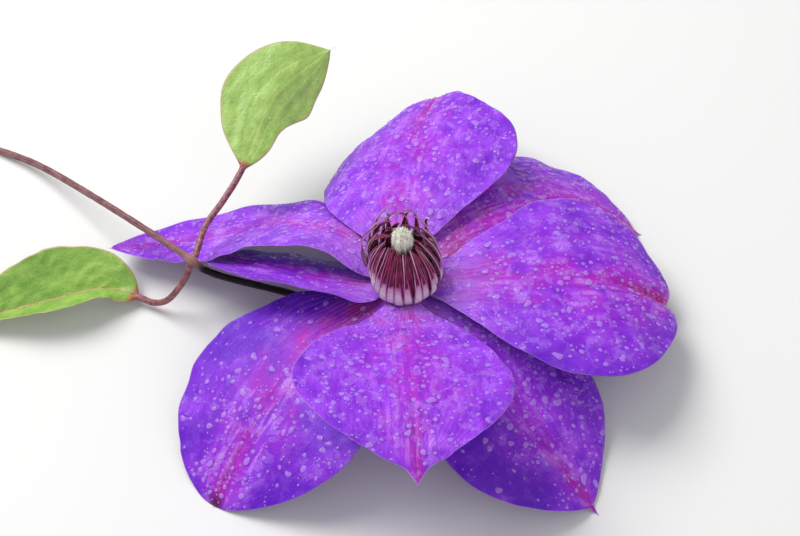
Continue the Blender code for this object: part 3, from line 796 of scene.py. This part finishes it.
stemForm = {
    "points": [(-121, 72, -20.5), (-105.5, 62, -18), (-86, 43, -12.5), (-65.5, 21.5, -6.5),
               (-57.2, 13.0, -5.0), (-53.9, 12.8, -8.6), (-47.5, 12.5, -11.7), (-31, 9.5, -14.4),
               (-18, 5.5, -15.6), (-8, 1.5, -14.6), (-2, 0, -10.6), (0, 0, -5.4)],
    "radius": 0.95, "steps": 24, "sides": 30, "ribs": 6, "ribDepth": 0.07,
    "nodePoint": 4, "nodeSwell": 0.55, "nodeReach": 1.6, "nodeColour": 2.2, "up": (-0.5, -0.5, 0.7),
}


def makeStem():
    # a ribbed tube that swells as a bell curve at the node, its radius wandering a little
    form = stemForm
    line = smoothLine(form["points"], form["steps"])
    away = np.linalg.norm(line - line[form["nodePoint"] * form["steps"]], axis=1)
    distance = lengthsAlong(line)
    swell = 1 + form["nodeSwell"] * bell(away, form["nodeReach"])
    wander = 1 + 0.03 * waves(distance, 0 * distance, 9, 2, 12, 5)
    outline = lambda angle: 1 + form["ribDepth"] * np.cos(form["ribs"] * angle)
    rings = tube(line, form["radius"] * 0.97 * swell * wander, np.array(form["up"]), form["sides"], outline)
    nodeAt = distance[form["nodePoint"] * form["steps"]]
    # from just past the node on: the stalk under the flower, which the finish paints near black as shade
    stalk = smoothStep(nodeAt + 0.5, nodeAt + 4.0, distance)
    angle = around(form["sides"])
    place = np.broadcast_arrays(distance[:, None], np.cos(angle), np.sin(angle))
    values = {
        "stalk": stalk[:, None], "nodeNear": bell(away, form["nodeColour"])[:, None],
        "groove": 0.5 - 0.5 * np.cos(form["ribs"] * angle), "stemPlace": np.stack(place, -1)[None],
    }
    addPiece("stem", rings[None], stemFinish(), ["stem"], values)
    print("stem made")


def stemFinish():
    finish, tree, shader = newFinish("stemFinish", Roughness=0.5, Specular_IOR_Level=0.25)
    place = attribute(tree, "stemPlace", "Vector")
    stalk, near, groove = attribute(tree, "stalk"), attribute(tree, "nodeNear"), attribute(tree, "groove")
    lines = streaksOf(tree, place, 0.28, 9.0)
    blotch = mottleOf(tree, place, 2.2, 1.7)
    bark = mix(tree, step(tree, blotch, 0.3, 0.7), (0.150, 0.040, 0.052), (0.27, 0.11, 0.115))
    bark = mix(tree, times(tree, lines["Lines"], 0.35), bark, (0.46, 0.31, 0.32))
    bark = mix(tree, times(tree, groove, 0.45), bark, (0.085, 0.025, 0.03))
    # painted shade: the stalk under the flower is coloured near black
    stalkShade = mix(tree, step(tree, blotch, 0.3, 0.7), (0.005, 0.001, 0.003), (0.018, 0.003, 0.010))
    base = mix(tree, stalk, bark, stalkShade)
    base = mix(tree, times(tree, near, 0.75), base, (0.34, 0.17, 0.14))
    tree.links.new(base, shader["Base Color"])
    height = sums(tree, "ADD", times(tree, lines["Fine"], 0.8), times(tree, blotch, 0.6))
    tree.links.new(bumpOf(tree, height, 0.12, 0.7), shader["Normal"])
    return finish


makeStem()


leafForm = {
    "petioleRadius": 0.9, "thickness": 0.38, "point": 0.5, "pointShare": 0.2, "tip": 0.3, "fullness": 0.85,
    "flattenShare": 0.12, "columns": 84, "steps": 28, "bladeShare": 0.965, "outline": 0.012, "pucker": 0.08,
    "swell": 0.35, "foldSoftness": 0.6, "tuckAt": 0.28, "tuckReach": 0.18,
    # veins: depth, half width, place across each half and strength; side veins: strength, spacing, half width
    "veinDepth": 0.09, "veinWidth": 0.42,
    "veins": ((0.0, 1.0), (0.34, 0.75), (0.66, 0.5), (-0.36, 0.75), (-0.68, 0.5)),
    "sideVein": 0.35, "sideVeinEvery": 5.2, "sideVeinWidth": 0.30,
}
# petiole and midrib as points; half widths left and right, how far each half folds up, which way the face
# looks, widest place; how pale the blade and how rosy the midrib is, how much of the right half turns under
leafSet = {
    "leafBack": {
        "node": "leaf_back",
        "petiole": [(-57.0, 13.3, -4.8), (-56.0, 15.0, -4.0), (-53.8, 23.0, -1.8), (-49.0, 30.0, 1.2),
                    (-44.0, 38.5, 5.0)],
        "midrib": [(-35.2, 56.2, 15.8), (-18.7, 69.5, 22.0)],
        "widths": (14.3, 11.7), "folds": (-8, -14), "facesTo": (0, -0.67, 0.74), "widest": 0.48,
        "pale": 0.45, "rosy": 0.05, "tuckUnder": 0.38,
    },
    "leafLeft": {
        "node": "leaf_left",
        "petiole": [(-57.3, 12.8, -5.5), (-58.0, 12.0, -7.0), (-59.8, 11.2, -11.5), (-64.5, 11.2, -19.0),
                    (-69.0, 12.8, -22.2), (-73.5, 14.7, -22.0)],
        "midrib": [(-83.5, 17.6, -21.5), (-98.0, 14.7, -23.3), (-112.0, 11.4, -25.0), (-125.0, 6.3, -26.3)],
        "widths": (11.6, 14.2), "folds": (33, 42), "facesTo": (0, 0, 1), "widest": 0.42,
        "pale": 0.1, "rosy": 0.65, "tuckUnder": 0.0,
    },
}


def leafSheet(form, leaf, seed):
    # A round petiole that flattens into a blade: a sine arch folded along its midrib. The veins pressed into
    # it leave the base and meet at the tip, with low puckers between them.
    petiole, widths, folds = leaf["petiole"], leaf["widths"], leaf["folds"]
    line = smoothLine(petiole + leaf["midrib"], form["steps"])
    along = unit(np.gradient(line, axis=0))
    facesTo = np.array(leaf["facesTo"], float)
    up = unit(facesTo - along * (along @ facesTo)[:, None])
    left = np.cross(up, along)
    distance = lengthsAlong(line)
    start = distance[(len(petiole) - 1) * form["steps"]]
    s = np.clip((distance - start) / (distance[-1] - start), 0, 1)
    v = np.linspace(1, -1, form["columns"])
    arch = bladeWidth(s / form["bladeShare"], leaf["widest"] / form["bladeShare"], form["fullness"])
    flat = np.clip(s / form["flattenShare"], 0, 1)[:, None]
    point = form["point"] * np.clip((1 - s) / form["pointShare"], form["tip"], 1)
    halfWidth = np.where(v > 0, widths[0], widths[1]) * arch[:, None]
    # the right half is turned under in its lower third
    turned = leaf["tuckUnder"] * bell(s - form["tuckAt"], form["tuckReach"])
    halfWidth = halfWidth * (1 - turned[:, None] * (v < 0))
    stalk = np.minimum(form["petioleRadius"], np.where(s > 0.5, point, form["petioleRadius"]))[:, None]
    reach = np.sqrt(halfWidth**2 + stalk**2)
    wobble = waves(distance[:, None], np.sign(v) * 40.0, 20, 5, 10, seed)
    reach = reach * (1 + form["outline"] * wobble * flat)
    fold = np.radians(np.where(v > 0, folds[0], folds[1])) * flat
    across = np.abs(v) * reach
    # the fold rounds off near the midrib
    soft = np.sqrt(across**2 + form["foldSoftness"] ** 2) - form["foldSoftness"]
    side, lift = np.sign(v) * (across * np.cos(fold)), soft * np.sin(fold)
    sheet = line[:, None] + side[..., None] * left[:, None] + lift[..., None] * up[:, None]
    tilt = np.sign(v) * np.sin(fold)
    normal = up[:, None] * np.cos(fold)[..., None] - left[:, None] * tilt[..., None]
    alongMm = np.broadcast_to((distance - start)[:, None], across.shape)
    veins = np.zeros_like(across)
    for place, strength in form["veins"]:
        gap = (v - place * (1 - 0.25 * s[:, None])) * reach
        veins = np.maximum(veins, strength * bell(gap, form["veinWidth"]))
    # side veins leave the midrib at a slant
    slant = (alongMm * 0.8 - across * 0.55) / form["sideVeinEvery"]
    gap = np.abs(slant % 1.0 - 0.5) * form["sideVeinEvery"]
    rungs = form["sideVein"] * bell(gap, form["sideVeinWidth"])
    veins = np.maximum(veins, rungs) * smoothStep(0.02, 0.12, s)[:, None]
    veins = veins * smoothStep(1.0, 0.94, np.abs(v))
    across = across * np.sign(v)
    puckers = waves(alongMm, across, 7, 2.6, 24, seed + 1)
    broad = waves(alongMm, across, 30, 12, 8, seed + 2)
    relief = (form["pucker"] * puckers - form["veinDepth"] * veins) * smoothStep(1.0, 0.85, s)[:, None]
    relief = (relief + form["swell"] * broad * np.abs(v)) * flat
    sheet = sheet + normal * relief[..., None]
    roundHalf = form["petioleRadius"] * np.sqrt(1 - v**2)
    thin = form["thickness"] / 2 * (1 - np.abs(v) ** 8)
    half = roundHalf * (1 - flat) + thin * flat
    return sheet, normal, half, {
        "across": across, "along": alongMm, "edge": (1 - np.abs(v)) * reach, "veins": veins,
        "blade": smoothStep(0.0, 0.03, s)[:, None], "share": s[:, None],
    }


def leafFinish(name, leaf):
    finish, tree, shader = newFinish(name, Roughness=0.4)
    place = attribute(tree, "bladePlace", "Vector")
    veins, edge, blade = attribute(tree, "veins"), attribute(tree, "edge"), attribute(tree, "blade")
    top, share = attribute(tree, "topSide"), attribute(tree, "share")
    blotch = mottleOf(tree, place, 6.0, 1.8)
    specks = mottleOf(tree, place, 1.1, 1.6)
    net = put(tree, "ShaderNodeTexVoronoi", {"Vector": place, "Scale": 0.75}, feature="DISTANCE_TO_EDGE")
    netLine = step(tree, net.outputs["Distance"], 0.12, 0.0)
    green = mix(tree, step(tree, blotch, 0.25, 0.75), (0.16, 0.36, 0.035), (0.30, 0.50, 0.075))
    green = mix(tree, leaf["pale"], green, (0.44, 0.58, 0.17))
    green = mix(tree, step(tree, specks, 0.45, 0.8, 0.0, 0.4), green, (0.12, 0.30, 0.03))
    green = mix(tree, times(tree, netLine, 0.22), green, (0.42, 0.56, 0.16))
    green = mix(tree, times(tree, veins, 0.28), green, (0.44, 0.60, 0.17))
    # a rosy midrib, a pale rim and a red foot
    fromRib = sums(tree, "ABSOLUTE", put(tree, "ShaderNodeSeparateXYZ", {0: place}).outputs[1])
    rosy = times(tree, step(tree, fromRib, 1.0, 0.2), leaf["rosy"])
    green = mix(tree, rosy, green, (0.45, 0.22, 0.12))
    green = mix(tree, step(tree, edge, 0.60, 0.20, 0.0, 0.85), green, (0.56, 0.38, 0.20))
    green = mix(tree, step(tree, share, 0.055, 0.015, 0.0, 0.9), green, (0.42, 0.07, 0.03))
    under = mix(tree, step(tree, blotch, 0.3, 0.7), (0.30, 0.40, 0.16), (0.40, 0.48, 0.22))
    under = mix(tree, times(tree, veins, 0.5), under, (0.50, 0.52, 0.28))
    leafColour = mix(tree, top, under, green)
    stalk = mix(tree, step(tree, specks, 0.3, 0.7), (0.17, 0.035, 0.050), (0.34, 0.13, 0.14))
    tree.links.new(mix(tree, blade, stalk, leafColour), shader["Base Color"])
    height = sums(tree, "SUBTRACT", specks, times(tree, netLine, 0.6))
    tree.links.new(bumpOf(tree, height, 0.10, 0.6), shader["Normal"])
    return finish


def makeLeaves():
    tops = {}
    for number, (name, leaf) in enumerate(leafSet.items()):
        blade = leafSheet(leafForm, leaf, 300 + 10 * number)
        tops[name] = addBlade(name, blade, number, leafFinish(name + "Finish", leaf), leaf["node"])
    print("leaves made:", len(tops))
    return tops


leafTops = makeLeaves()


# how many on each fullPatch of square millimetres, and what share of them a leaf has; radii and heights, in
# millimetres; how far from the edge and from the foot they start; a dome's rings, in degrees from its crown
dropForm = {
    "perPatch": 680, "fullPatch": 3600, "onLeaf": 0.03, "smallest": 0.24, "largest": 1.9, "fromEdge": 0.8,
    "fromFoot": 6.0, "thinOnDeepAndShade": 0.8, "sink": 0.024, "rise": 0.32,
    "sides": 12, "polar": [104, 86, 64, 40, 16],
    # colours of the drops at their edge and at their crown: painted shade at the edge, painted light at the
    # crown
    "onSepals": ((0.20, 0.02, 0.60), (0.68, 0.38, 1.00)),
    "onLeaves": ((0.16, 0.26, 0.03), (0.62, 0.80, 0.42)),
}


def dropRings(centre, normal, size, stretch, form):
    # domes standing on the surface: rings at falling polar angles, pulled out of round by cosines
    count = len(centre)
    polar = np.radians(form["polar"])
    angle = around(form["sides"])[None]
    side = unit(np.cross(normal, np.array([0.31, 0.77, 0.55])))
    other = np.cross(normal, side)
    phase = rng.uniform(0, math.tau, (count, 3, 1))
    pull = zip((2, 3, 5), (0.38, 0.22, 0.10), phase.swapaxes(0, 1))
    outline = 1 + stretch[:, None] * sum(high * np.cos(lobes * angle + start) for lobes, high, start in pull)
    ring = side[:, None] * np.cos(angle)[..., None] + other[:, None] * np.sin(angle)[..., None]
    flat = ring * (outline * size[:, None])[..., None]
    level = form["rise"] * size[:, None] ** 0.5 * np.cos(polar)[None] - form["sink"]
    rings = centre[:, None, None] + flat[:, None] * np.sin(polar)[None, :, None, None]
    return rings + normal[:, None, None] * level[..., None, None]


def dropFinish(name, edgeColour, crownColour):
    # painted shade at the edge and painted light at the crown stand in for clear water, which darkens what is
    # under its edge and brightens what is under its crown
    finish, tree, shader = newFinish(name, Roughness=0.08, IOR=1.33, Alpha=0.42)
    crown = step(tree, attribute(tree, "crown"), 0.0, 0.75)
    tree.links.new(mix(tree, crown, edgeColour, crownColour), shader["Base Color"])
    return finish


def makeDrops():
    form = dropForm
    onSepals = dropFinish("rainOnSepals", *form["onSepals"])
    onLeaves = dropFinish("rainOnLeaves", *form["onLeaves"])
    crown = np.cos(np.radians(form["polar"])).clip(0)
    for name, (top, normal, marks) in {**sepalTops, **leafTops}.items():
        onSepal = name in sepalTops
        rows, columns = top.shape[:2]
        # spread evenly over the area: each point of the grid weighs as much as its patch of surface
        patch = np.linalg.norm(np.cross(np.gradient(top, axis=0), np.gradient(top, axis=1)), axis=-1)
        onBlade = (marks["edge"] > form["fromEdge"]) & (marks["along"] > form["fromFoot"])
        # fewer lie on the deep violet and painted-shade parts
        thin = 1 - form["thinOnDeepAndShade"] * marks["deepAndShade"] if onSepal else 1
        weight = (patch * onBlade * thin).ravel()
        share = {**sepalForm, **sepalSet[name]}["drops"] if onSepal else form["onLeaf"]
        count = int(form["perPatch"] * patch.sum() / form["fullPatch"] * share)
        pick = rng.choice(rows * columns, count, replace=False, p=weight / weight.sum())
        size = form["smallest"] + (form["largest"] - form["smallest"]) * rng.beta(0.8, 5.0, count)
        # a drop is left out where a bigger one already lies, and none hangs over the edge
        pick, size = pick[np.argsort(-size)], np.sort(size)[::-1]
        centre = top.reshape(-1, 3)[pick]
        apart = np.linalg.norm(centre[:, None] - centre[None], axis=-1)
        keep = ~np.triu(apart < (size[:, None] + size[None]) * 0.95, 1).any(0)
        pick, centre, size = pick[keep], centre[keep], size[keep]
        size = np.minimum(size, 0.75 * marks["edge"].ravel()[pick])
        stretch = np.clip(size - 0.35, 0, 0.9) * rng.uniform(0.3, 1.1, len(size))
        rings = dropRings(centre, normal.reshape(-1, 3)[pick], size, stretch, form)
        piece = "rainOn" + name[0].upper() + name[1:]
        addPiece(piece, rings, onSepals if onSepal else onLeaves, [], {"crown": crown[:, None]})
    print("rain drops made")


makeDrops()


studio = {
    "floorColour": (0.80, 0.79, 0.77), "worldColour": (0.93, 0.96, 1.0), "worldStrength": 0.50,
    # name: watts, size in metres, place in metres
    "lights": {"key": (8.0, 0.6, (-0.40, 0.35, 0.75)), "fill": (1.8, 0.9, (0.55, -0.55, 0.60))},
    # the camera: degrees up from the flower's own plane, millimetres away, and off the flower's middle by aim
    "elevation": 48, "distance": 600, "lens": 101.25, "aim": (-0.53, 4.27),
}


def makeStudio():
    mesh = bpy.data.meshes.new("floor")
    mesh.from_pydata([(-4, -4, 0), (4, -4, 0), (4, 4, 0), (-4, 4, 0)], [], [(0, 1, 2, 3)])
    finish, tree, shader = newFinish("floorFinish", Roughness=0.8)
    place = put(tree, "ShaderNodeTexCoord").outputs["Object"]
    blotch = mottleOf(tree, place, 0.4, 0.4)
    r, g, b = studio["floorColour"]
    tree.links.new(mix(tree, blotch, (r * 0.97, g * 0.97, b * 0.97), (r, g, b)), shader["Base Color"])
    mesh.materials.append(finish)
    floor = bpy.data.objects.new("floor", mesh)
    bpy.context.scene.collection.objects.link(floor)

    world = bpy.data.worlds.new("softSky")
    world.use_nodes = True
    background = world.node_tree.nodes["Background"].inputs
    background["Color"].default_value = (*studio["worldColour"], 1)
    background["Strength"].default_value = studio["worldStrength"]
    bpy.context.scene.world = world
    for name, (watts, size, place) in studio["lights"].items():
        lamp = bpy.data.lights.new(name, "AREA")
        lamp.energy, lamp.size = watts, size
        light = bpy.data.objects.new(name, lamp)
        light.location = place
        # each lamp faces a point just above the middle of the floor
        toward = np.array([0.0, 0.0, 0.02]) - np.array(place)
        light.rotation_euler = (math.atan2(math.hypot(toward[0], toward[1]), -toward[2]), 0,
                                math.atan2(toward[1], toward[0]) - math.pi / 2)
        bpy.context.scene.collection.objects.link(light)
    bpy.context.scene.view_settings.view_transform = "Standard"


def makeCamera():
    rise = math.radians(studio["elevation"])
    ahead = np.array([0, math.cos(rise), -math.sin(rise)])
    right = np.array([1.0, 0, 0])
    up = np.cross(right, ahead)
    aim = right * studio["aim"][0] + up * studio["aim"][1]
    place = layDown((aim - ahead * studio["distance"])[None])[0]
    turn = turnOfFlower() @ np.stack([right, up, -ahead], 1)
    camera = bpy.data.objects.new("camera", bpy.data.cameras.new("camera"))
    camera.data.lens = studio["lens"]
    camera.data.sensor_width = 36
    whole = np.eye(4)
    whole[:3, :3], whole[:3, 3] = turn, place
    camera.matrix_world = Matrix(whole.tolist())
    bpy.context.scene.collection.objects.link(camera)
    bpy.context.scene.camera = camera


makeStudio()
makeCamera()
print("floor, light and camera made")
